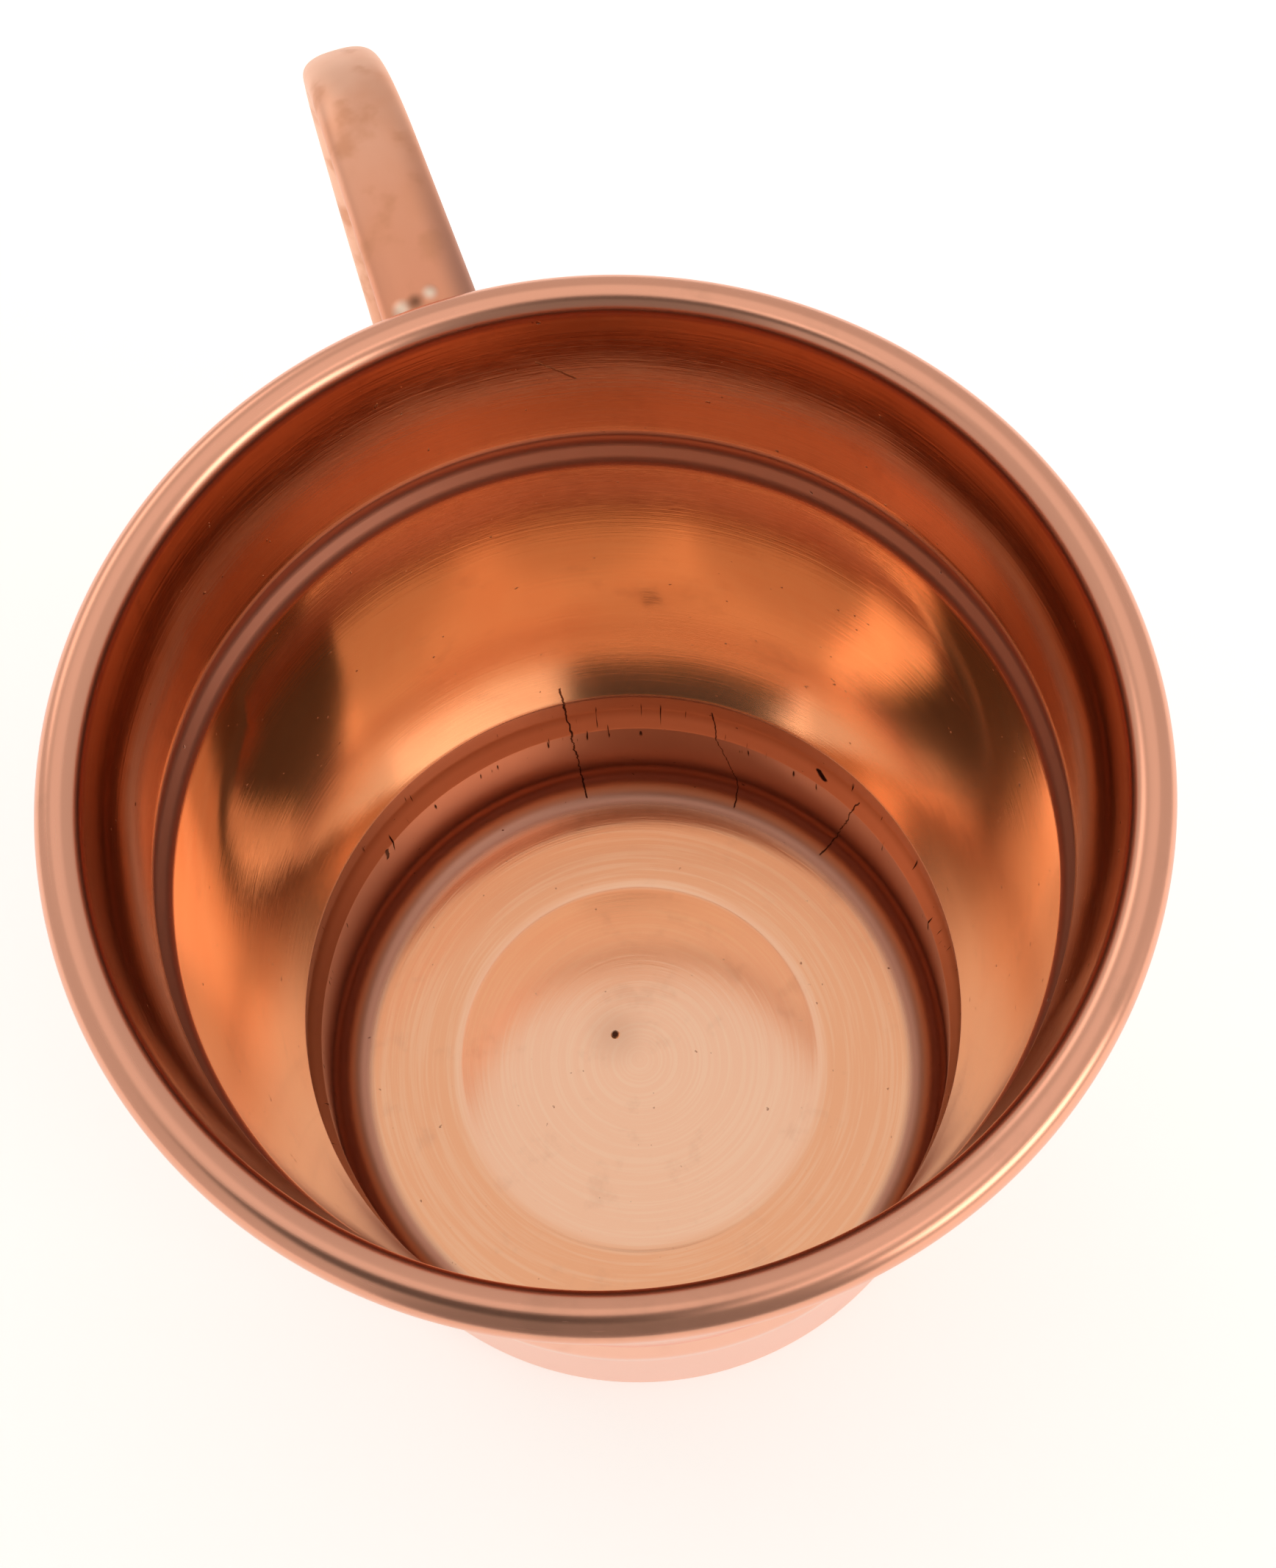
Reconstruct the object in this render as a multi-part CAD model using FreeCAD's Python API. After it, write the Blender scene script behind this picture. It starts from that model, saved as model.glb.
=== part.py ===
"""Copper mug: a spun one-piece cup with a rolled lip, and a strap handle brazed on.

Frame: millimetres, +Z up.  The origin is the centre of the flat disc that the mug stands on.
The cup's axis is Z, and the handle lies in the XZ plane, on the +X side.
"""
import FreeCAD
import Part
import math
import os

# ---- cup: one copper sheet, given by its inside face as (radius, height, corner radius) ----
SHEET = 1.1             # thickness of the copper
LIP_HEIGHT = 114.4      # height of the rolled lip's centre
LIP_TUBE = 1.8          # outer radius of the rolled lip's tube
MOUTH_RADIUS = 40.4     # inside of the mouth, where the wall turns into the lip
LIP_END = -100.0        # angle, in degrees, at which the curl ends under the lip

DISC_RADIUS = 24.9      # flat middle of the floor, which stands on the table
STEP_RADIUS = 25.9      # outer edge of the small step round the middle
STEP_RISE = 0.2         # how far the floor rises at that step
CORNER_RADIUS = 41.7    # where the gently rising floor would meet the foot's wall
CORNER_HEIGHT = 3.0
WAIST_RADIUS = 39.0     # inward ridge between the foot and the lower bead
WAIST_HEIGHT = 25.9

LOWER_BEAD_FROM = 30.6  # height at which the lower bead is fully out
LOWER_BEAD_TO = 34.4
LOWER_BEAD_RADIUS = 39.85
WALL_FOOT_RADIUS = 38.7     # the wall just above the lower bead, which starts out upright
WALL_FOOT_HEIGHT = 37.2
WALL_BEND_RADIUS = 38.8     # the wall where it starts to widen upwards
WALL_BEND_HEIGHT = 62.0
WALL_TOP_RADIUS = 39.9      # the wall at the upper bead
UPPER_BEAD_HEIGHT = 93.75   # middle of the upper bead
UPPER_BEAD_HALF = 2.45      # half its height
UPPER_BEAD_DEPTH = 1.5      # how far it stands out

# ---- handle: an oval strap, given by its centre line as (distance from the axis, height) ----
HANDLE_TOP = (41.0, 104.8)
HANDLE_SHOULDER = (88.0, 112.7)
HANDLE_BACK = (84.5, 74.0)
HANDLE_ELBOW = (74.0, 47.0)
HANDLE_BOTTOM = (38.6, 47.5)
SHOULDER_BEND = 17.0
BACK_BEND = 60.0
ELBOW_BEND = 22.0
ROOT_SIZE = (9.4, 4.6)      # width and thickness of the strap at its top end
GRIP_SIZE = (7.3, 4.3)      # and from the shoulder down to its bottom end
TAPER_SHARE = 0.35          # share of the strap's length over which it narrows
EDGE_ROUND = 0.37           # radius of the strap's edges, as a share of its thickness

# ---- brazed joints ----
BRAZE_SPREAD = 1.5      # how far the filler spreads round the strap, on the cup
BRAZE_CLIMB = 2.4       # how far it climbs along the strap
BRAZE_EDGE = 0.2        # its thickness where it ends on the strap

UP = FreeCAD.Vector(0, 0, 1)
SIDEWAYS = FreeCAD.Vector(0, 1, 0)
ORIGIN = FreeCAD.Vector(0, 0, 0)


def vec(point):
    """A point of the XZ plane, from its (x, z) pair."""
    return FreeCAD.Vector(point[0], 0, point[1])


def direction(a, b):
    """Unit direction from one (x, z) pair to another."""
    length = math.hypot(b[0] - a[0], b[1] - a[1])
    return ((b[0] - a[0]) / length, (b[1] - a[1]) / length)


def turn(a, b):
    """Signed angle from direction a to direction b, positive to the left."""
    return math.atan2(a[0] * b[1] - a[1] * b[0], a[0] * b[0] + a[1] * b[1])


def rounded(points):
    """Edges along (x, z, radius) corners, each corner replaced by a tangent arc."""
    edges = []
    last = points[0]
    for before, corner, after in zip(points, points[1:], points[2:]):
        inward = direction(before, corner)
        outward = direction(corner, after)
        angle = turn(inward, outward)
        reach = corner[2] * math.tan(abs(angle) / 2)
        start = (corner[0] - inward[0] * reach, corner[1] - inward[1] * reach)
        end = (corner[0] + outward[0] * reach, corner[1] + outward[1] * reach)
        bulge = corner[2] * (1 / math.cos(angle / 2) - 1)
        bisector = direction(inward, outward)
        middle = (corner[0] + bisector[0] * bulge, corner[1] + bisector[1] * bulge)
        edges.append(Part.LineSegment(vec(last), vec(start)).toShape())
        edges.append(Part.Arc(vec(start), vec(middle), vec(end)).toShape())
        last = end
    edges.append(Part.LineSegment(vec(last), vec(points[-1])).toShape())
    return edges


def offset(points, distance):
    """The same run of corners, moved to its right-hand side, with the arcs kept parallel."""
    runs = [direction(a, b) for a, b in zip(points, points[1:])]
    moved = []
    for index, point in enumerate(points):
        before = runs[max(index - 1, 0)]
        after = runs[min(index, len(runs) - 1)]
        angle = turn(before, after)
        normal = (before[1] + after[1], -before[0] - after[0])
        scale = distance / (2 * math.cos(angle / 2) ** 2)
        radius = point[2] + math.copysign(distance, angle)
        moved.append((point[0] + normal[0] * scale, point[1] + normal[1] * scale, radius))
    return moved


def inside_face():
    """Corners of the cup's inside, from the middle of the floor up to the lip."""
    upper_bead_out = WALL_TOP_RADIUS + UPPER_BEAD_DEPTH
    return [
        (0.0, SHEET, 0.0),
        (DISC_RADIUS, SHEET, 6.0),
        (STEP_RADIUS, SHEET + STEP_RISE, 2.2),
        (CORNER_RADIUS, CORNER_HEIGHT, 4.6),
        (WAIST_RADIUS, WAIST_HEIGHT, 1.5),
        (LOWER_BEAD_RADIUS, LOWER_BEAD_FROM, 5.0),
        (LOWER_BEAD_RADIUS, LOWER_BEAD_TO, 2.0),
        (WALL_FOOT_RADIUS, WALL_FOOT_HEIGHT, 1.6),
        (WALL_BEND_RADIUS, WALL_BEND_HEIGHT, 900.0),
        (WALL_TOP_RADIUS, UPPER_BEAD_HEIGHT - UPPER_BEAD_HALF, 2.8),
        (upper_bead_out, UPPER_BEAD_HEIGHT, 2.2),
        (WALL_TOP_RADIUS, UPPER_BEAD_HEIGHT + UPPER_BEAD_HALF, 2.8),
        (MOUTH_RADIUS, LIP_HEIGHT, 0.0),
    ]


def curl(radius):
    """Arc of the rolled lip at one radius, from the wall over the top to the curl's end."""
    centre = vec((MOUTH_RADIUS + LIP_TUBE, LIP_HEIGHT))

    def at(degrees):
        angle = math.radians(degrees)
        return centre + FreeCAD.Vector(radius * math.cos(angle), 0, radius * math.sin(angle))

    middle = (180 + LIP_END) / 2
    return Part.Arc(at(180), at(middle), at(LIP_END)).toShape(), at(LIP_END)


def turned(edges):
    """Solid of revolution about Z from the edges of a closed half section."""
    face = Part.Face(Part.Wire(Part.sortEdges(edges)[0]))
    return face.revolve(ORIGIN, UP, 360)


def outside_face():
    """Corners of the sheet's outer face, ending level with the lip's centre."""
    corners = offset(inside_face(), SHEET)
    corners[0] = (0.0, 0.0, 0.0)
    corners[-1] = (MOUTH_RADIUS + SHEET, LIP_HEIGHT, 0.0)
    return corners


def make_cup():
    inner = inside_face()
    outer = outside_face()
    outer_curl, outer_end = curl(LIP_TUBE)
    inner_curl, inner_end = curl(LIP_TUBE - SHEET)
    edges = rounded(inner) + rounded(outer)
    edges += [outer_curl, inner_curl]
    edges.append(Part.LineSegment(outer_end, inner_end).toShape())
    edges.append(Part.LineSegment(vec(inner[0]), vec(outer[0])).toShape())
    return turned(edges)


def make_core():
    """The cup as a solid block with the same outside, to trim what is brazed onto it."""
    outer = outside_face()
    top = (0.0, LIP_HEIGHT)
    edges = rounded(outer)
    edges.append(Part.LineSegment(vec(outer[-1]), vec(top)).toShape())
    edges.append(Part.LineSegment(vec(top), vec(outer[0])).toShape())
    return turned(edges)


def oval(width, thickness, centre, along):
    """Closed four-arc oval across the strap: wide along Y, thin in the XZ plane."""
    side = EDGE_ROUND * thickness
    half_width = width / 2
    half_thick = thickness / 2
    reach = half_width - side
    crown = (reach ** 2 + half_thick ** 2 - side ** 2) / (thickness - 2 * side)
    lean = math.atan2(reach, crown - half_thick)
    out = FreeCAD.Vector(-along.z, 0, along.x)

    def at(y, t):
        return centre + SIDEWAYS * y + out * t

    seam_y = crown * math.sin(lean)
    seam_t = crown * math.cos(lean) - (crown - half_thick)
    edges = [
        Part.Arc(at(-seam_y, seam_t), at(0, half_thick), at(seam_y, seam_t)).toShape(),
        Part.Arc(at(seam_y, seam_t), at(half_width, 0), at(seam_y, -seam_t)).toShape(),
        Part.Arc(at(seam_y, -seam_t), at(0, -half_thick), at(-seam_y, -seam_t)).toShape(),
        Part.Arc(at(-seam_y, -seam_t), at(-half_width, 0), at(-seam_y, seam_t)).toShape(),
    ]
    return Part.Wire(edges)


def strap_size(share):
    """Width and thickness of the strap at a share of its length."""
    narrowed = min(share / TAPER_SHARE, 1.0)
    return [root + (grip - root) * narrowed for root, grip in zip(ROOT_SIZE, GRIP_SIZE)]


def handle_path():
    return Part.Wire(rounded([
        (*HANDLE_TOP, 0.0),
        (*HANDLE_SHOULDER, SHOULDER_BEND),
        (*HANDLE_BACK, BACK_BEND),
        (*HANDLE_ELBOW, ELBOW_BEND),
        (*HANDLE_BOTTOM, 0.0),
    ]))


def make_strap():
    """The whole strap, with both ends running on into the cup's wall."""
    path = handle_path()
    pipe = Part.BRepOffsetAPI.MakePipeShell(path)
    pipe.setBiNormalMode(SIDEWAYS)
    done = 0.0
    for edge in path.Edges:
        share = done / path.Length
        along = edge.tangentAt(edge.FirstParameter)
        pipe.add(oval(*strap_size(share), edge.valueAt(edge.FirstParameter), along))
        done += edge.Length
    end = path.Edges[-1]
    pipe.add(oval(*GRIP_SIZE, end.valueAt(end.LastParameter), end.tangentAt(end.LastParameter)))
    pipe.build()
    pipe.makeSolid()
    return pipe.shape()


def make_braze(strap, core, end, toward, size):
    """Collar of filler round one end of the strap, from the wall out along the strap."""
    along = vec(direction(end, toward))
    middle = vec(end)
    wall_side = oval(size[0] + 2 * BRAZE_SPREAD, size[1] + 2 * BRAZE_SPREAD, middle, along)
    strap_side = oval(size[0] + 2 * BRAZE_EDGE, size[1] + 2 * BRAZE_EDGE,
                      middle + along * BRAZE_CLIMB, along)
    return Part.makeLoft([wall_side, strap_side], True).cut(strap).cut(core)


def export(shape, name):
    """Write one node, after checking that it is one valid solid."""
    solid = shape.Solids[0]
    if len(shape.Solids) != 1 or not solid.isValid():
        raise ValueError("%s is not one valid solid" % name)
    solid.exportStep("parts/%s.step" % name)
    box = solid.optimalBoundingBox()
    print("%-14s %8.0f mm3  x %6.1f..%6.1f  y %6.1f..%6.1f  z %6.1f..%6.1f" % (
        name, solid.Volume, box.XMin, box.XMax, box.YMin, box.YMax, box.ZMin, box.ZMax))


def main():
    os.makedirs("parts", exist_ok=True)
    cup = make_cup()
    core = make_core()
    strap = make_strap()
    export(cup, "cup_body")
    export(strap.cut(core), "handle")
    export(make_braze(strap, core, HANDLE_TOP, HANDLE_SHOULDER, ROOT_SIZE), "upper_braze")
    export(make_braze(strap, core, HANDLE_BOTTOM, HANDLE_ELBOW, GRIP_SIZE), "lower_braze")


main()
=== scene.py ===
"""Looks of the copper mug: a spun cup, a strap handle and its two brazed joints.

The shapes below are in millimetres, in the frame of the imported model, and are turned into metres
when a mesh is made.  The cup's axis is Z, and the handle lies in the XZ plane on the +X side.
"""
import math

import bpy
from mathutils import Matrix, Vector


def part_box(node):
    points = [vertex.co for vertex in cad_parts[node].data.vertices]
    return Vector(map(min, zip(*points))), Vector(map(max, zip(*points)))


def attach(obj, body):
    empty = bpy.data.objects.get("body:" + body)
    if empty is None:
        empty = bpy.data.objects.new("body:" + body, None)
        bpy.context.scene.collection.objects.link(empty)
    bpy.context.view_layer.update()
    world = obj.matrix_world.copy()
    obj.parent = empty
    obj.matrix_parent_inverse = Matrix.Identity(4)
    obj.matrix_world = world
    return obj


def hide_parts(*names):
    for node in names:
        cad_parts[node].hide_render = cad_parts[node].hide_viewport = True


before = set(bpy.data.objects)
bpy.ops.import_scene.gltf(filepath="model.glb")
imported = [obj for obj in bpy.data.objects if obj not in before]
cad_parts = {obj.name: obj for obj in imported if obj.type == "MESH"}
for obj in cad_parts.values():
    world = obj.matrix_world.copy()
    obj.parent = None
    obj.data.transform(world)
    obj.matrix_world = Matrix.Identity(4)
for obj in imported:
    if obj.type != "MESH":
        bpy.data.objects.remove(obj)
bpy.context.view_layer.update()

MM = 0.001

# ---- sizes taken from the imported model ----
CUP_LOW, CUP_HIGH = (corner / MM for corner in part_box("cup_body"))
RIM_RADIUS = (CUP_HIGH.x - CUP_LOW.x) / 2
RIM_TOP = CUP_HIGH.z

# ---- cup: one sheet, given by its inside face as (radius, height, corner radius) ----
SHEET = 1.1
LIP_TUBE = 1.8
LIP_HEIGHT = RIM_TOP - LIP_TUBE
LIP_CENTRE = RIM_RADIUS - LIP_TUBE
LIP_END = -100.0        # degrees round the tube at which the curl ends
UPPER_BEAD = 93.75
WALL_TOP = 39.9
INSIDE = [
    (0.0, SHEET, 0.0),
    (24.9, SHEET, 6.0),
    (25.9, SHEET + 0.2, 2.2),
    (41.7, 3.0, 4.6),
    (39.0, 25.9, 1.5),
    (39.85, 30.6, 5.0),
    (39.85, 34.4, 2.0),
    (38.7, 37.2, 1.6),
    (38.8, 62.0, 900.0),
    (WALL_TOP, UPPER_BEAD - 2.45, 2.8),
    (WALL_TOP + 1.5, UPPER_BEAD, 2.2),
    (WALL_TOP, UPPER_BEAD + 2.45, 2.8),
    (LIP_CENTRE - LIP_TUBE, LIP_HEIGHT, 0.0),
]
CUP_SEGMENTS = 320

# ---- how far hand work left the cup out of true ----
WAVES = [           # size in millimetres, waves round the cup, phase, and twist for a millimetre up
    (0.035, 2, 0.6, 0.010),
    (0.020, 5, 2.1, -0.031),
    (0.012, 9, 4.0, 0.047),
    (0.008, 14, 1.3, -0.11),
]
WAVY_FOOT = (6.0, 14.0)     # heights between which the waviness sets in
WAVY_LIP = 104.0            # height above which it fades out again
FLOOR_REACH = 37.0          # radius inside which the floor sags

# ---- handle: centre line as (distance from the axis, height, bend radius) ----
STRAP = [
    (40.95, 104.8, 0.0),
    (88.0, 112.7, 17.0),
    (84.5, 74.0, 60.0),
    (74.0, 47.0, 22.0),
    (39.2, 47.5, 0.0),
]
ROOT_SIZE = (9.4, 4.6)
GRIP_SIZE = (7.3, 4.3)
TAPER_SHARE = 0.35
STRAP_SQUARENESS = 2.7      # exponent of the section: 2 is an ellipse, more is squarer
STRAP_SIDES = 64

# ---- filler round the strap's ends ----
FILLET_STEPS = 9
FILLET_OVERLAP = 0.15       # how deep the collar's inner edge lies in the strap
FILLET_SUNK = 0.12          # how deep its outer edge lies in the cup's wall
FILLET_CORE = 0.5           # how deep its hidden inner ring lies there
UPPER_FILLET = (1.5, 2.4, 1.0)      # spread on the wall, climb up the strap, and phase of its waves
LOWER_FILLET = (1.3, 2.0, 2.3)

# ---- camera ----
CAMERA_AZIMUTH = 167.6      # degrees round the cup from the handle
CAMERA_AWAY = 51.7          # distance from the cup's axis
CAMERA_HEIGHT = 241.1
CAMERA_AIM = (38.8, -13.3, 0.0)     # where the optical axis meets the table
CAMERA_ROLL = 4.27
CAMERA_LENS = 40.5

# ---- metal, as the share of red, green and blue light it mirrors ----
COPPER = (0.95, 0.62, 0.39)
COPPER_WARM = (0.94, 0.57, 0.35)
COPPER_FLOOR = (0.94, 0.55, 0.37)
COPPER_RING = (0.88, 0.43, 0.24)        # the rising ring of the floor, darker and redder than its flat middle
COPPER_WORKED_SHADED = (0.85, 0.48, 0.40)      # the foot's wall, which the tool left duller, painted darker and more purple as shade
COPPER_RECESS_SHADE = (0.56, 0.25, 0.18)        # painted shade in the floor's corner and in the groove
COPPER_BEAD = (0.82, 0.38, 0.27)
COPPER_OUTSIDE = (0.88, 0.42, 0.28)     # the lip, darkened by handling
COPPER_BODY = (0.92, 0.50, 0.36)
COPPER_STREAK_HIGHLIGHT = (0.98, 0.76, 0.56)       # painted highlight along the lines of the brushing
COPPER_STAIN = (0.55, 0.28, 0.18)
MARK_DARK = (0.10, 0.035, 0.02)         # the bottom of cracks and pits
# painted light on the strap: the root shaded darker, the shoulder lit lighter
STRAP_ROOT_SHADE = (0.88, 0.38, 0.23)
STRAP_SHOULDER_LIT = (1.0, 0.60, 0.43)
STRAP_WARM = (0.86, 0.38, 0.22)
STRAP_BROWN = (0.74, 0.33, 0.18)
STRAP_SIDE_SHADE = (0.42, 0.21, 0.16)      # painted shade along one edge, towards the root
FILLER_LIGHT = (0.80, 0.42, 0.27)
FILLER_DARK = (0.34, 0.16, 0.10)

# ---- how rough each part of the cup is, added to the polish ----
ROUGH_POLISH = 0.02
ROUGH_BRUSH = 0.05
ROUGH_FOOT = 0.30
ROUGH_BEAD = 0.38
ROUGH_FLOOR = 0.07
ROUGH_OUTSIDE = 0.22
ROUGH_MARK = 0.3

# ---- heights between which one finish of the cup, or one painted shade, turns into the next ----
FLOOR_EDGE = (2.38, 2.56)
# where the painted shade of the floor's corner and of the groove sets in
CORNER_SHADE = (3.5, 6.5)
GROOVE_SHADE = (28.0, 31.0)
TICKS_LOW = (21.5, 23.5)
TICKS_HIGH = (30.5, 32.5)
FOOT_EDGE = (36.5, 38.5)
BEAD_EDGE = (2.6, 3.8)          # counted from the bead's middle, up and down
BEAD_TONE = (80.0, 90.0)
OUTSIDE_EDGE = (92.0, 106.0)

# ---- marks inside the cup ----
DIMPLE = (4.5, 2.0)     # the small mark in the floor, a little off the axis
CORNER = INSIDE[3][1]
RIDGE = INSIDE[4][1]
SCORES = [          # azimuth of the low end, lean, low and high end, width and darkness
    (-8.0, 2.0, CORNER, RIDGE + 16.0, 0.14, 0.9),       # three cracks, up from the foot's corner
    (-40.0, 6.0, CORNER, RIDGE + 6.0, 0.12, 0.8),
    (-61.0, -5.0, CORNER, RIDGE + 3.0, 0.11, 0.8),
    (-15.0, 5.0, LIP_HEIGHT - 9.0, LIP_HEIGHT - 6.0, 0.12, 0.5),        # a scratch below the lip
    (36.0, 0.0, RIDGE - 3.5, RIDGE, 0.40, 0.8),         # a pit under the ridge
    (-58.0, 1.5, RIDGE + 2.0, RIDGE + 3.0, 0.55, 1.0),  # a dark spot over it
]

# ---- solder drips on the strap by the upper joint, with painted glints on the raised ones and painted shade in the sunk one ----
DRIPS = [           # distance from the axis, sideways place, size and rise
    (49.3, 2.6, 1.2, 1.5),
    (49.9, -0.3, 1.0, 1.5),
    (49.5, 1.2, 1.1, -1.0),
]
DRIP_GLINT = (1.0, 0.84, 0.68)
DRIP_HOLLOW_SHADE = (0.16, 0.07, 0.04)

# ---- studio ----
WORLD_LIGHT = 0.62
WORLD_COLOUR = (1.0, 0.97, 0.93)
LAMP_COLOUR = (1.0, 0.97, 0.92)
FLOOR_COLOUR = (0.93, 0.92, 0.90)
FLOOR_GLOW_COLOUR = (1.0, 0.99, 0.97)
FLOOR_GLOW = 0.42
FLOOR_HALF = 3000.0
BACKDROP_RADIUS = 2900.0
BACKDROP_HEIGHT = 6000.0
BACKDROP_SIDES = 64
LENS_CARD_PLACE = (25.0, 55.0, 6.0)     # beyond the camera, to its left, and above it
LENS_CARD_HALF = (70.0, 42.0)           # half its width and half its depth
LENS_CARD_GREY = 0.05
BACK_CARD_PLACE = (430.0, 60.0)         # from the cup's axis, and to the left
BACK_CARD_HALF = 270.0                  # half its width
BACK_CARD_HEIGHTS = (40.0, 780.0)
BACK_CARD_GREY = 0.28
SOFTBOXES = [       # name, azimuth from the camera, elevation, distance, width, height, power
    ("ceiling", 180.0, 86.0, 1400.0, 1300.0, 1300.0, 0.80),
    ("window_front", 38.0, 63.0, 1100.0, 440.0, 260.0, 2.0),
    ("window_left", -52.0, 62.0, 1100.0, 220.0, 240.0, 3.0),
    ("window_right", 50.0, 24.0, 1200.0, 700.0, 400.0, 8.5),
    ("window_back", -140.0, 30.0, 1200.0, 700.0, 400.0, 3.0),
]


# ------------------------------------------------------------------ outlines

def turn_between(a, b):
    """Signed angle from direction a to direction b."""
    return math.atan2(a[0] * b[1] - a[1] * b[0], a.dot(b))


def rounded(points, step=0.6):
    """Points along (x, z, radius) corners, each corner rounded by a tangent arc."""
    corners = [Vector(p[:2]) for p in points]
    out = []
    last = corners[0]
    for index in range(1, len(points) - 1):
        inward = (corners[index] - corners[index - 1]).normalized()
        outward = (corners[index + 1] - corners[index]).normalized()
        angle = turn_between(inward, outward)
        radius = points[index][2]
        reach = radius * math.tan(abs(angle) / 2)
        start = corners[index] - inward * reach
        add_run(out, last, start, step)
        side = Vector((-inward.y, inward.x)) * math.copysign(radius, angle)
        steps = max(6, int(abs(angle) * radius / (step * 0.4)))
        for k in range(steps):
            bend = Matrix.Rotation(angle * k / steps, 2)
            out.append(start + side - bend @ side)
        last = corners[index] + outward * reach
    add_run(out, last, corners[-1], step)
    out.append(corners[-1])
    return out


def add_run(out, start, end, step):
    """Evenly spaced points of a straight run, without its last point."""
    steps = max(1, int((end - start).length / step))
    out.extend(start.lerp(end, k / steps) for k in range(steps))


def offset(points, distance):
    """The same corners moved to the right-hand side, with the arcs kept parallel."""
    corners = [Vector(p[:2]) for p in points]
    runs = [(b - a).normalized() for a, b in zip(corners, corners[1:])]
    moved = []
    for index, point in enumerate(points):
        before = runs[max(index - 1, 0)]
        after = runs[min(index, len(runs) - 1)]
        angle = turn_between(before, after)
        normal = Vector((before.y + after.y, -before.x - after.x))
        place = corners[index] + normal * (distance / (2 * math.cos(angle / 2) ** 2))
        moved.append((place.x, place.y, point[2] + math.copysign(distance, angle)))
    return moved


def curl(radius, steps=30):
    """Points of the rolled lip, from the wall over the top to the curl's end."""
    out = []
    for k in range(steps + 1):
        angle = math.radians(180 + (LIP_END - 180) * k / steps)
        out.append(Vector((LIP_CENTRE + radius * math.cos(angle),
                           LIP_HEIGHT + radius * math.sin(angle))))
    return out


# ------------------------------------------------------------------ meshes

def new_piece(name, vertices, faces):
    """A mesh object from millimetre vertices, shaded smooth all over."""
    mesh = bpy.data.meshes.new(name)
    mesh.from_pydata([tuple(c * MM for c in v) for v in vertices], [], faces)
    mesh.validate()
    mesh.shade_smooth()
    piece = bpy.data.objects.new(name, mesh)
    bpy.context.scene.collection.objects.link(piece)
    return piece


def smooth_step(low, high, value):
    """0 below low, 1 above high, and a smooth rise between."""
    share = min(max((value - low) / (high - low), 0.0), 1.0)
    return share * share * (3 - 2 * share)


def waviness(angle, height):
    """How far the wall is out of true, in millimetres."""
    return sum(size * math.sin(count * angle + phase + height * twist)
               for size, count, phase, twist in WAVES)


def floor_sag(radius, angle):
    """The floor's slight unevenness, in millimetres."""
    flat = 24.0
    fade = smooth_step(FLOOR_REACH, flat, radius)
    return fade * (0.03 * math.sin(2 * angle + 0.4) * radius / flat
                   + 0.02 * math.cos(radius * 0.33)
                   + 0.012 * math.sin(3 * angle + radius * 0.2) * radius / flat)


def make_cup():
    """The turned sheet: inside face, curl, and outside face back to the middle."""
    inner = rounded(INSIDE)
    corners = offset(INSIDE, SHEET)
    corners[0] = (0.0, INSIDE[0][1] - SHEET, 0.0)
    corners[-1] = (LIP_CENTRE - LIP_TUBE + SHEET, LIP_HEIGHT, 0.0)
    outer = rounded(corners)
    outline = inner[1:-1] + curl(LIP_TUBE) + curl(LIP_TUBE - SHEET)[::-1] + outer[1:-1][::-1]
    satin = [0.0] * (len(inner) - 2) + [1.0] * (len(outline) - len(inner) + 2)
    vertices = []
    angles = [2 * math.pi * k / CUP_SEGMENTS for k in range(CUP_SEGMENTS)]
    for point in outline:
        for angle in angles:
            wall = smooth_step(*WAVY_FOOT, point.y) * smooth_step(RIM_TOP, WAVY_LIP, point.y)
            radius = point.x - abs(waviness(angle, point.y)) * wall
            x = radius * math.cos(angle)
            y = radius * math.sin(angle)
            lift = 0.0
            if point.x < FLOOR_REACH and point.y < CORNER:
                lift = floor_sag(point.x, angle)
            vertices.append((x, y, max(point.y + lift, 0.0)))
    faces = []
    rings = len(outline)
    for ring in range(rings - 1):
        for k in range(CUP_SEGMENTS):
            after = (k + 1) % CUP_SEGMENTS
            a, b = ring * CUP_SEGMENTS, (ring + 1) * CUP_SEGMENTS
            faces.append((a + k, a + after, b + after, b + k))
    first = len(vertices)
    vertices.append((0.0, 0.0, INSIDE[0][1] + floor_sag(0.0, 0.0)))
    vertices.append((0.0, 0.0, INSIDE[0][1] - SHEET + floor_sag(0.0, 0.0)))
    last_ring = (rings - 1) * CUP_SEGMENTS
    for k in range(CUP_SEGMENTS):
        after = (k + 1) % CUP_SEGMENTS
        faces.append((first, after, k))
        faces.append((first + 1, last_ring + k, last_ring + after))
    cup = new_piece("spun_cup", vertices, faces)
    mask = cup.data.attributes.new("satin", "FLOAT", "POINT")
    values = [satin[i // CUP_SEGMENTS] if i < first else float(i > first)
              for i in range(len(vertices))]
    mask.data.foreach_set("value", values)
    return cup


def strap_size(share):
    """Width and thickness of the strap at a share of its length."""
    narrowed = min(share / TAPER_SHARE, 1.0)
    return [root + (grip - root) * narrowed for root, grip in zip(ROOT_SIZE, GRIP_SIZE)]


def section(width, thickness, sides=STRAP_SIDES):
    """Points (sideways, outward) of the strap's rounded section."""
    power = 2 / STRAP_SQUARENESS
    out = []
    for k in range(sides):
        angle = 2 * math.pi * k / sides
        c, s = math.cos(angle), math.sin(angle)
        out.append((width / 2 * math.copysign(abs(c) ** power, c),
                    thickness / 2 * math.copysign(abs(s) ** power, s)))
    return out


def strap_line():
    """Centre line points of the strap, their directions and shares of the length."""
    line = rounded(STRAP, step=1.0)
    lengths = [0.0]
    for a, b in zip(line, line[1:]):
        lengths.append(lengths[-1] + (b - a).length)
    ways = []
    for k in range(len(line)):
        ways.append((line[min(k + 1, len(line) - 1)] - line[max(k - 1, 0)]).normalized())
    return line, ways, [length / lengths[-1] for length in lengths]


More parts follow.
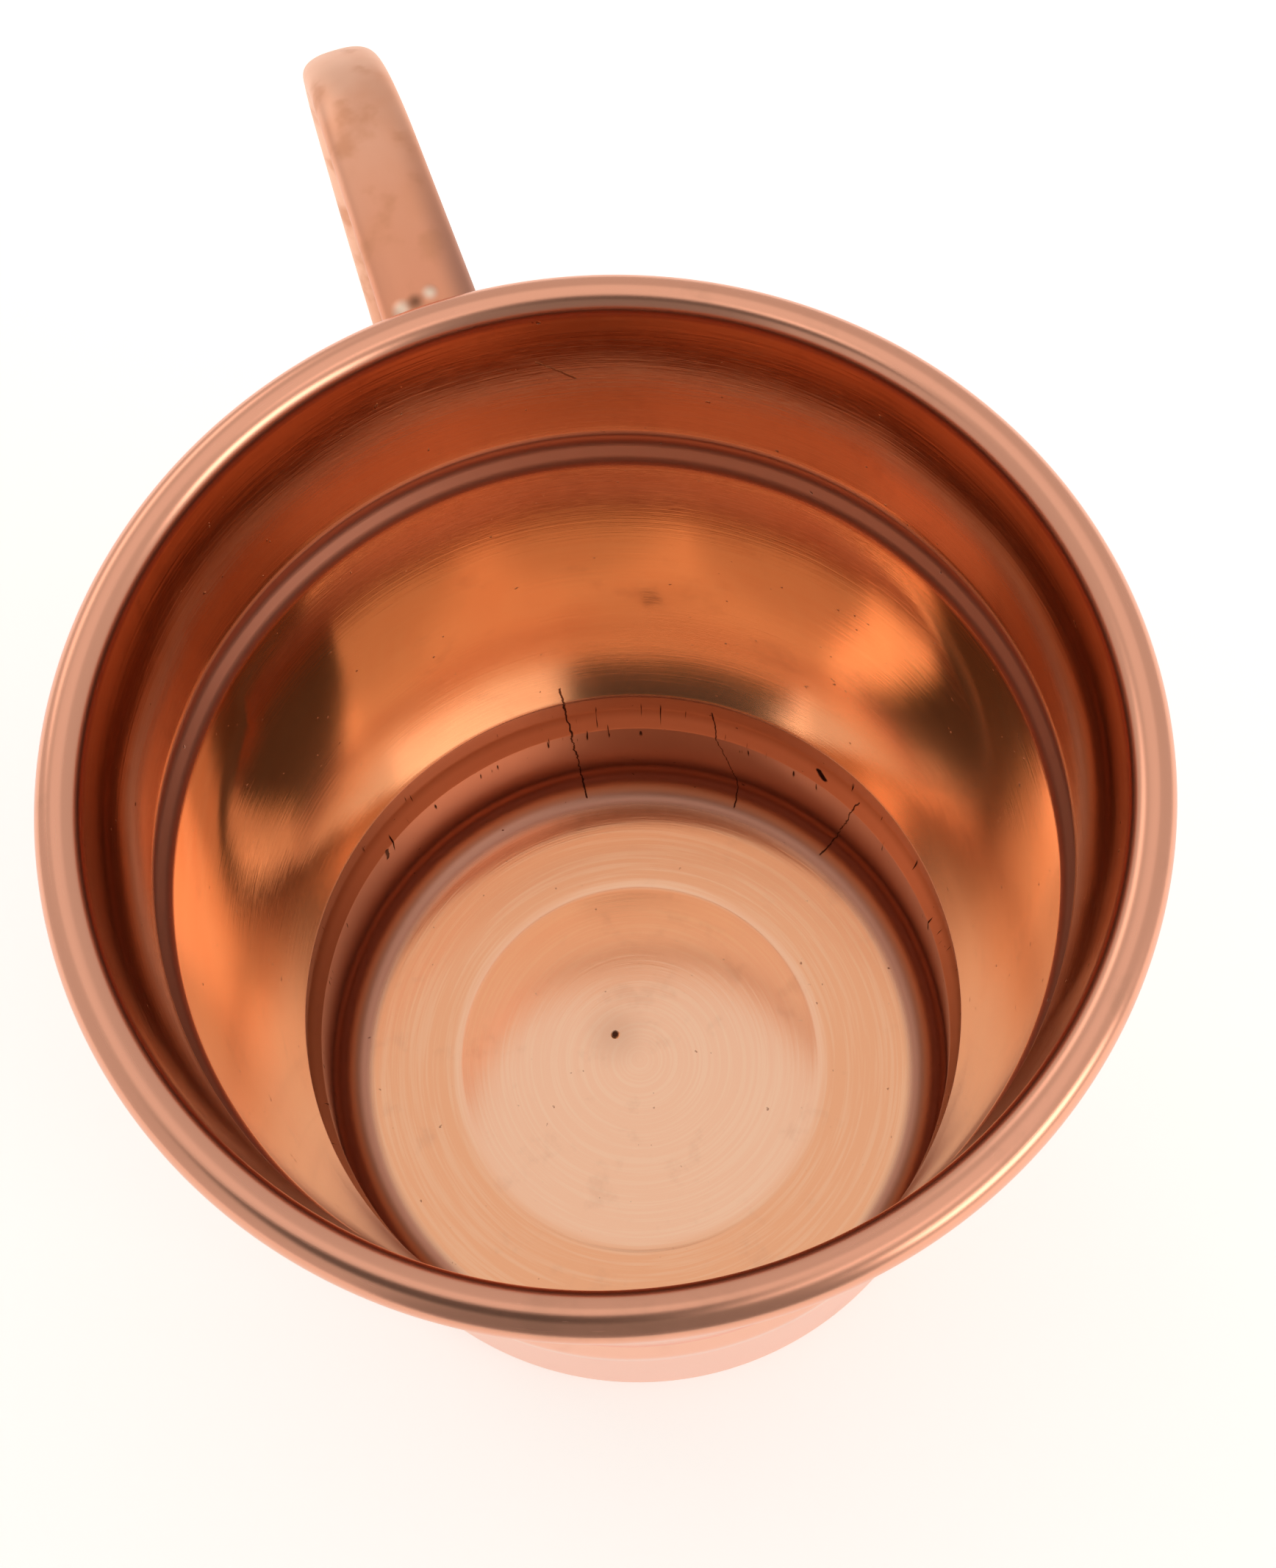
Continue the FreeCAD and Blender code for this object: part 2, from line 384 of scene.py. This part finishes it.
def make_strap():
    """The handle: the strap's section swept along its centre line."""
    vertices = []
    faces = []
    line, ways, shares = strap_line()
    for centre, way, share in zip(line, ways, shares):
        out = Vector((-way.y, way.x))
        for sideways, lift in section(*strap_size(share)):
            place = centre + out * lift
            vertices.append((place.x, sideways, place.y))
    for ring in range(len(line) - 1):
        a, b = ring * STRAP_SIDES, (ring + 1) * STRAP_SIDES
        for k in range(STRAP_SIDES):
            after = (k + 1) % STRAP_SIDES
            faces.append((a + k, b + k, b + after, a + after))
    faces.append(tuple(range(STRAP_SIDES)))
    last = (len(line) - 1) * STRAP_SIDES
    faces.append(tuple(reversed(range(last, last + STRAP_SIDES))))
    return new_piece("strap_handle", vertices, faces)


def outer_wall(height):
    """Radius of the cup's outer wall, between the two beads and above the upper one."""
    foot, top = INSIDE[7], INSIDE[8]
    if height > UPPER_BEAD:
        foot, top = INSIDE[11], INSIDE[12]
    share = (height - foot[1]) / (top[1] - foot[1])
    return foot[0] + (top[0] - foot[0]) * share + SHEET


def make_braze(name, centre, way, size, spread, climb, seed):
    """A collar of filler with a hollow face, from the wall up onto the strap."""
    vertices = []
    faces = []
    out = Vector((-way.y, way.x))
    inner = section(size[0] - 2 * FILLET_OVERLAP, size[1] - 2 * FILLET_OVERLAP)
    for k, (sideways, lift) in enumerate(inner):
        angle = 2 * math.pi * k / STRAP_SIDES
        normal = Vector((math.cos(angle), math.sin(angle)))
        uneven = 1 + 0.16 * math.sin(2 * angle + seed) + 0.10 * math.sin(5 * angle + 3 * seed)
        for step in range(FILLET_STEPS):
            # a quarter of a superellipse, hollow side out
            turn = step / (FILLET_STEPS - 1) * math.pi / 2
            up = climb * uneven * (1 - math.sin(turn) ** 0.8)
            side = spread * uneven * (1 - math.cos(turn) ** 0.8) + FILLET_OVERLAP + 0.02
            y = sideways + normal.x * side
            in_plane = out * (lift + normal.y * side)
            wall = math.sqrt(outer_wall(centre.y + in_plane.y) ** 2 - y * y)
            vertices.append((wall - FILLET_SUNK + up * way.x, y,
                             centre.y + in_plane.y + (wall - centre.x + up) * way.y))
        wall = math.sqrt(outer_wall(centre.y) ** 2 - sideways ** 2)
        base = out * lift
        vertices.append((wall - FILLET_CORE, sideways,
                         centre.y + base.y + (wall - centre.x) * way.y))
    row = FILLET_STEPS + 1
    for k in range(STRAP_SIDES):
        a, b = k * row, ((k + 1) % STRAP_SIDES) * row
        for step in range(row):
            after = (step + 1) % row
            faces.append((a + step, a + after, b + after, b + step))
    return new_piece(name, vertices, faces)


# ------------------------------------------------------------------ materials

class Graph:
    """Short calls for the nodes that the copper is built from."""

    def __init__(self, name):
        self.material = bpy.data.materials.new(name)
        self.material.use_nodes = True
        self.tree = self.material.node_tree
        self.shader = self.tree.nodes["Principled BSDF"]

    def node(self, kind, **settings):
        made = self.tree.nodes.new("ShaderNode" + kind)
        for key, value in settings.items():
            setattr(made, key, value)
        return made

    def feed(self, socket, value):
        if isinstance(value, bpy.types.NodeSocket):
            self.tree.links.new(value, socket)
        else:
            socket.default_value = value

    def math(self, operation, *values):
        made = self.node("Math", operation=operation)
        for socket, value in zip(made.inputs, values):
            self.feed(socket, value)
        return made.outputs[0]

    def ramp(self, value, low, high, start=0.0, end=1.0):
        """Smooth rise from start to end as value goes from low to high."""
        made = self.node("MapRange", interpolation_type="SMOOTHSTEP")
        for socket, given in zip(made.inputs, (value, low, high, start, end)):
            self.feed(socket, given)
        return made.outputs[0]

    def mix(self, share, first, second):
        made = self.node("Mix", data_type="RGBA")
        self.feed(made.inputs[0], share)
        for socket, colour in zip((made.inputs[6], made.inputs[7]), (first, second)):
            self.feed(socket, colour if isinstance(colour, bpy.types.NodeSocket) else (*colour, 1))
        return made.outputs[2]

    def vector(self, x, y, z):
        made = self.node("CombineXYZ")
        for socket, value in zip(made.inputs, (x, y, z)):
            self.feed(socket, value)
        return made.outputs[0]

    def noise(self, place, scale, detail=3.0, rough=0.55):
        made = self.node("TexNoise")
        self.feed(made.inputs["Vector"], place)
        made.inputs["Scale"].default_value = scale
        made.inputs["Detail"].default_value = detail
        made.inputs["Roughness"].default_value = rough
        return made.outputs[0]

    def place(self):
        """Object position in millimetres, as (x, y, z) sockets."""
        parts = self.node("SeparateXYZ")
        coordinates = self.node("TexCoord")
        self.tree.links.new(coordinates.outputs["Object"], parts.inputs[0])
        return [self.math("MULTIPLY", socket, 1 / MM) for socket in parts.outputs]

    def square(self, value, middle):
        """The square of how far a value is from the middle."""
        away = self.math("SUBTRACT", value, middle)
        return self.math("MULTIPLY", away, away)

    def streak(self, place, first, last, width):
        """1 along the straight line between two (azimuth, height) places on the wall, 0 beyond."""
        start, end = (Vector((math.radians(turn) * WALL_TOP, height, 0.0)) for turn, height in
                      (first, last))
        along = end - start
        away = self.node("VectorMath", operation="SUBTRACT")
        self.feed(away.inputs[0], place)
        away.inputs[1].default_value = start
        reach = self.node("VectorMath", operation="DOT_PRODUCT")
        self.feed(reach.inputs[0], away.outputs[0])
        reach.inputs[1].default_value = along / along.length_squared
        share = self.node("Clamp")
        self.feed(share.inputs[0], reach.outputs["Value"])
        nearest = self.node("VectorMath", operation="SCALE")
        nearest.inputs[0].default_value = along
        self.feed(nearest.inputs["Scale"], share.outputs[0])
        gap = self.node("VectorMath", operation="DISTANCE")
        self.feed(gap.inputs[0], away.outputs[0])
        self.feed(gap.inputs[1], nearest.outputs[0])
        return self.ramp(gap.outputs["Value"], width, width * 0.4)

    def bump(self, height, millimetres):
        made = self.node("Bump")
        made.inputs["Strength"].default_value = 1.0
        made.inputs["Distance"].default_value = millimetres * MM
        self.feed(made.inputs["Height"], height)
        self.feed(self.shader.inputs["Normal"], made.outputs[0])

    def metal(self, colour, roughness, anisotropic=0.0):
        self.shader.inputs["Metallic"].default_value = 1.0
        self.feed(self.shader.inputs["Base Color"], colour)
        self.feed(self.shader.inputs["Roughness"], roughness)
        self.shader.inputs["Anisotropic"].default_value = anisotropic


def cup_copper():
    """Polished and brushed inside, duller in the foot's wall and the bead, satin outside, with
    painted highlight lines along the brushing and painted shade in the foot's wall, its corner and
    its groove.
    """
    g = Graph("cup_copper")
    x, y, z = g.place()
    radius = g.math("SQRT", g.math("ADD", g.math("MULTIPLY", x, x), g.math("MULTIPLY", y, y)))
    run = g.math("SUBTRACT", z, radius)
    satin = g.node("Attribute", attribute_name="satin").outputs["Fac"]
    inside = g.math("SUBTRACT", 1.0, satin)
    # rings left by the spinning tool and by brushing, long round the cup and fine across it
    rings = g.noise(g.vector(g.math("MULTIPLY", x, 0.05), g.math("MULTIPLY", y, 0.05),
                             g.math("MULTIPLY", run, 2.2)), 1.0, 4.0, 0.62)
    brush = g.noise(g.vector(g.math("MULTIPLY", x, 0.09), g.math("MULTIPLY", y, 0.09),
                             g.math("MULTIPLY", run, 6.0)), 1.0, 3.0, 0.7)
    place = g.vector(x, y, z)
    cloud = g.noise(place, 0.045, 3.0)
    stain = g.noise(place, 0.16, 4.0, 0.6)
    floor = g.math("MULTIPLY", inside, g.ramp(z, *FLOOR_EDGE[::-1]))
    colour = g.mix(g.ramp(cloud, 0.40, 0.64), COPPER, COPPER_WARM)
    colour = g.mix(floor, colour, g.mix(g.ramp(radius, 24.0, 26.5), COPPER_FLOOR, COPPER_RING))
    outside = g.mix(g.ramp(z, *OUTSIDE_EDGE), COPPER_BODY, COPPER_OUTSIDE)
    colour = g.mix(satin, colour, outside)
    # painted highlight: pale lines along the brushing rings, inside only
    line = g.math("MAXIMUM", g.ramp(rings, 0.35, 0.65, -0.10, 0.16), 0.0)
    colour = g.mix(g.math("MULTIPLY", line, inside), colour, COPPER_STREAK_HIGHLIGHT)
    brown = g.math("MULTIPLY", g.ramp(stain, 0.56, 0.74), 0.20)
    colour = g.mix(brown, colour, COPPER_STAIN)
    low = g.math("MULTIPLY", g.ramp(z, *FLOOR_EDGE), g.ramp(z, *FOOT_EDGE[::-1]))
    near, far = BEAD_EDGE
    bead = g.math("MULTIPLY", g.ramp(z, UPPER_BEAD - far, UPPER_BEAD - near),
                  g.ramp(z, UPPER_BEAD + far, UPPER_BEAD + near))
    # the foot's wall and the bead; in the foot's wall a painted shade darkens the tool-dulled
    # copper
    worked_and_shaded = g.math("MULTIPLY", g.math("MAXIMUM", low, bead), inside)
    # painted shade: darker in the floor's corner and from the groove up to the foot's top
    recess_shade = g.math("MAXIMUM", g.ramp(z, *CORNER_SHADE[::-1]), g.ramp(z, *GROOVE_SHADE))
    tone = g.mix(g.ramp(z, *BEAD_TONE), g.mix(recess_shade, COPPER_WORKED_SHADED, COPPER_RECESS_SHADE), COPPER_BEAD)
    colour = g.mix(g.math("MULTIPLY", worked_and_shaded, 0.9), colour, tone)
    dark, dents = cup_marks(g, x, y, z, inside)
    colour = g.mix(dark, colour, MARK_DARK)
    roughness = g.math("ADD", ROUGH_POLISH, g.math("MULTIPLY", brush, ROUGH_BRUSH))
    zones = [
        (g.math("MULTIPLY", low, inside), ROUGH_FOOT),
        (g.math("MULTIPLY", bead, inside), ROUGH_BEAD),
        (floor, ROUGH_FLOOR),
        (satin, ROUGH_OUTSIDE),
        (dark, ROUGH_MARK),
    ]
    for zone, rougher in zones:
        roughness = g.math("ADD", roughness, g.math("MULTIPLY", zone, rougher))
    g.metal(colour, roughness)
    height = g.math("ADD", rings, g.math("MULTIPLY", brush, 0.5))
    g.bump(g.math("SUBTRACT", height, g.math("MULTIPLY", dents, 15.0)), 0.004)
    return g.material


def cup_marks(g, x, y, z, inside):
    """Cracks, tool ticks, pits and scratches inside the cup: their darkness and their depth."""
    turn = g.math("MULTIPLY", g.math("ARCTAN2", y, x), WALL_TOP)
    wander = g.math("SUBTRACT", g.noise(g.vector(x, y, z), 0.5, 4.0), 0.5)
    place = g.vector(g.math("ADD", turn, wander), z, 0.0)
    marks = []
    for azimuth, lean, low, high, width, depth in SCORES:
        mark = g.streak(place, (azimuth + lean, high), (azimuth, low), width)
        marks.append(g.math("MULTIPLY", mark, depth))
    dark = marks[0]
    for mark in marks[1:]:
        dark = g.math("MAXIMUM", dark, mark)
    upright = g.vector(g.math("MULTIPLY", turn, 1.5), g.math("MULTIPLY", z, 0.07), 0.0)
    tick = g.noise(upright, 1.0, 2.0)
    reach = g.math("MULTIPLY", g.ramp(z, *TICKS_LOW), g.ramp(z, *TICKS_HIGH[::-1]))
    dark = g.math("MAXIMUM", dark, g.math("MULTIPLY", g.ramp(tick, 0.66, 0.70), reach))
    wall = g.math("MULTIPLY", inside, g.ramp(z, 2.5, 2.8))
    dark = g.math("MULTIPLY", dark, wall)
    speck = g.noise(g.vector(x, y, z), 1.1, 2.0, 0.4)
    specks = g.math("MULTIPLY", g.ramp(speck, 0.755, 0.80), g.math("MULTIPLY", inside, 0.5))
    from_dot = g.math("SQRT", g.math("ADD", g.square(x, DIMPLE[0]), g.square(y, DIMPLE[1])))
    on_floor = g.math("MULTIPLY", inside, g.ramp(z, 2.0, 1.5))
    dot = g.math("MULTIPLY", g.ramp(from_dot, 0.70, 0.30), on_floor)
    halo = g.math("MULTIPLY", g.ramp(from_dot, 6.0, 0.0), g.math("MULTIPLY", on_floor, 0.15))
    dark = g.math("MAXIMUM", g.math("MAXIMUM", dark, specks), g.math("MAXIMUM", dot, halo))
    return dark, g.math("MAXIMUM", dot, g.math("MULTIPLY", dark, wall))


def handle_copper():
    """Worn and blotched copper, with painted light and shade along the strap, and the solder drips
    by the upper joint with painted glints and shade.
    """
    g = Graph("handle_copper")
    x, y, z = g.place()
    place = g.vector(x, y, z)
    cloud = g.noise(place, 0.09, 3.0)
    blotch = g.noise(place, 0.24, 3.0, 0.5)
    grain = g.noise(place, 3.5, 3.0, 0.6)
    # painted light: the strap lighter towards its far shoulder, darker towards the root
    colour = g.mix(g.ramp(x, 50.0, 84.0), STRAP_ROOT_SHADE, STRAP_SHOULDER_LIT)
    colour = g.mix(g.math("MULTIPLY", g.ramp(cloud, 0.40, 0.65), 0.6), colour, STRAP_WARM)
    brown = g.math("MULTIPLY", g.ramp(blotch, 0.50, 0.70), 0.60)
    colour = g.mix(brown, colour, STRAP_BROWN)
    # painted shade along one side of the strap, towards the root
    edge = g.math("MULTIPLY", g.ramp(y, -1.2, -4.0), g.ramp(x, 74.0, 48.0))
    colour = g.mix(g.math("MULTIPLY", edge, 0.75), colour, STRAP_SIDE_SHADE)
    roughness = g.math("ADD", 0.38, g.math("MULTIPLY", blotch, 0.16))
    relief = g.math("ADD", cloud, g.math("MULTIPLY", grain, 0.06))
    for away, sideways, size, rise in DRIPS:
        gap = g.math("SQRT", g.math("ADD", g.square(x, away), g.square(y, sideways)))
        drip = g.math("MULTIPLY", g.ramp(gap, size, 0.0), g.ramp(z, 104.0, 106.0))
        relief = g.math("ADD", relief, g.math("MULTIPLY", drip, rise))
        # painted glint on a raised drip, painted shade in a sunk one
        tone = DRIP_GLINT if rise > 0 else DRIP_HOLLOW_SHADE
        colour = g.mix(g.math("MULTIPLY", drip, 0.8), colour, tone)
    g.metal(colour, roughness)
    g.bump(relief, 0.10)
    return g.material


def braze_copper():
    """Rough, unevenly darkened filler."""
    g = Graph("braze")
    x, y, z = g.place()
    place = g.vector(x, y, z)
    cloud = g.noise(place, 0.6, 4.0)
    grain = g.noise(place, 2.4, 4.0, 0.65)
    colour = g.mix(g.ramp(cloud, 0.40, 0.62), FILLER_LIGHT, FILLER_DARK)
    g.metal(colour, g.math("ADD", 0.20, g.math("MULTIPLY", grain, 0.25)))
    g.bump(grain, 0.08)
    return g.material


def paint(name, colour, roughness=0.5, glow_colour=(1.0, 1.0, 1.0), glow=0.0):
    """A plain matt paint for the studio, which may glow."""
    material = bpy.data.materials.new(name)
    material.use_nodes = True
    shader = material.node_tree.nodes["Principled BSDF"]
    shader.inputs["Base Color"].default_value = (*colour, 1)
    shader.inputs["Roughness"].default_value = roughness
    shader.inputs["Emission Color"].default_value = (*glow_colour, 1)
    shader.inputs["Emission Strength"].default_value = glow
    return material


# ------------------------------------------------------------------ studio

def make_floor():
    """The pale table, which glows a little so that it stays white up to the backdrop."""
    half = FLOOR_HALF
    corners = [(-half, -half, 0), (half, -half, 0), (half, half, 0), (-half, half, 0)]
    floor = new_piece("floor", corners, [(0, 1, 2, 3)])
    floor.data.materials.append(
        paint("studio_floor", FLOOR_COLOUR, 0.6, FLOOR_GLOW_COLOUR, FLOOR_GLOW))


def make_backdrop():
    """A tall white ring round the studio, which only the camera sees."""
    vertices = []
    faces = []
    for k in range(BACKDROP_SIDES):
        turn = 2 * math.pi * k / BACKDROP_SIDES
        for z in (-1.0, BACKDROP_HEIGHT):
            vertices.append((BACKDROP_RADIUS * math.cos(turn),
                             BACKDROP_RADIUS * math.sin(turn), z))
        after = (k + 1) % BACKDROP_SIDES
        faces.append((2 * k, 2 * after, 2 * after + 1, 2 * k + 1))
    backdrop = new_piece("backdrop", vertices, faces)
    backdrop.data.materials.append(paint("backdrop_white", (0.0, 0.0, 0.0), glow=1.0))
    backdrop.visible_diffuse = False
    backdrop.visible_glossy = False
    backdrop.visible_shadow = False


def make_world():
    """Even, slightly warm light from all round."""
    world = bpy.data.worlds.new("studio")
    bpy.context.scene.world = world
    world.use_nodes = True
    background = world.node_tree.nodes["Background"]
    background.inputs["Color"].default_value = (*WORLD_COLOUR, 1)
    background.inputs["Strength"].default_value = WORLD_LIGHT


def studio_place(azimuth, elevation, distance):
    """A place round the mug's mouth, with azimuth counted from the camera, to the right."""
    turn = math.radians(CAMERA_AZIMUTH + azimuth)
    rise = math.radians(elevation)
    return (distance * math.cos(rise) * math.cos(turn),
            distance * math.cos(rise) * math.sin(turn),
            LIP_HEIGHT + distance * math.sin(rise))


def make_softbox(name, azimuth, elevation, distance, width, height, power):
    """A soft rectangular light, facing the mug, with its power in watts for a square metre."""
    lamp = bpy.data.lights.new(name, "AREA")
    lamp.shape = "RECTANGLE"
    lamp.size = width * MM
    lamp.size_y = height * MM
    lamp.energy = power * lamp.size * lamp.size_y
    lamp.color = LAMP_COLOUR
    softbox = bpy.data.objects.new(name, lamp)
    bpy.context.scene.collection.objects.link(softbox)
    aim(softbox, studio_place(azimuth, elevation, distance), (0.0, 0.0, LIP_HEIGHT))


def dark_card(name, corners, grey):
    """A card out of the picture, which the polished copper mirrors."""
    card = new_piece(name, corners, [(0, 1, 2, 3)])
    card.data.materials.append(paint(name, (grey, grey, grey), 0.7))
    card.visible_camera = False


def make_cards():
    """A small dark card beside the lens and a tall one behind it."""
    turn = math.radians(CAMERA_AZIMUTH)
    front = Vector((math.cos(turn), math.sin(turn), 0.0))
    left = Vector((front.y, -front.x, 0.0))
    beyond, aside, above = LENS_CARD_PLACE
    half_width, half_depth = LENS_CARD_HALF
    centre = front * (CAMERA_AWAY + beyond) + left * aside
    corners = []
    for across, along in ((-1, -1), (1, -1), (1, 1), (-1, 1)):
        place = centre + left * (across * half_width) + front * (along * half_depth)
        corners.append((place.x, place.y, CAMERA_HEIGHT + above))
    dark_card("lens_card", corners, LENS_CARD_GREY)
    away, aside = BACK_CARD_PLACE
    low, high = BACK_CARD_HEIGHTS
    base = front * away + left * aside
    corners = []
    for across, height in ((-1, low), (1, low), (1, high), (-1, high)):
        place = base + left * (across * BACK_CARD_HALF)
        corners.append((place.x, place.y, height))
    dark_card("back_card", corners, BACK_CARD_GREY)


def aim(thing, place, target, roll=0.0):
    """Puts a camera or light at a place, in millimetres, looking at a target."""
    way = (Vector(target) - Vector(place)).normalized()
    thing.location = Vector(place) * MM
    thing.rotation_mode = "QUATERNION"
    spin = Matrix.Rotation(math.radians(roll), 3, way).to_quaternion()
    thing.rotation_quaternion = spin @ way.to_track_quat("-Z", "Y")


def make_camera():
    """The camera, high over the side of the cup away from the handle, looking down into it."""
    camera = bpy.data.objects.new("camera", bpy.data.cameras.new("camera"))
    bpy.context.scene.collection.objects.link(camera)
    azimuth = math.radians(CAMERA_AZIMUTH)
    place = (CAMERA_AWAY * math.cos(azimuth), CAMERA_AWAY * math.sin(azimuth), CAMERA_HEIGHT)
    aim(camera, place, CAMERA_AIM, CAMERA_ROLL)
    camera.data.lens = CAMERA_LENS
    camera.data.sensor_width = 36
    camera.data.clip_start = 0.005
    bpy.context.scene.camera = camera


def main():
    """Builds the studio and the mug, and puts each piece in its CAD part's place."""
    bpy.context.scene.view_settings.view_transform = "Standard"
    make_camera()
    make_world()
    make_floor()
    make_backdrop()
    make_cards()
    for softbox in SOFTBOXES:
        make_softbox(*softbox)
    copper, strap_metal, filler = cup_copper(), handle_copper(), braze_copper()
    line, ways = strap_line()[:2]
    pieces = [
        (make_cup(), "cup_body", "cup_copper", copper),
        (make_strap(), "handle", "handle_copper", strap_metal),
        (make_braze("upper_fillet", line[0], ways[0], ROOT_SIZE, *UPPER_FILLET),
         "upper_braze", "braze", filler),
        (make_braze("lower_fillet", line[-1], -ways[-1], GRIP_SIZE, *LOWER_FILLET),
         "lower_braze", "braze", filler),
    ]
    for piece, node, slot, material in pieces:
        piece.data.materials.append(material)
        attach(piece, "root")
        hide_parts(node)


main()
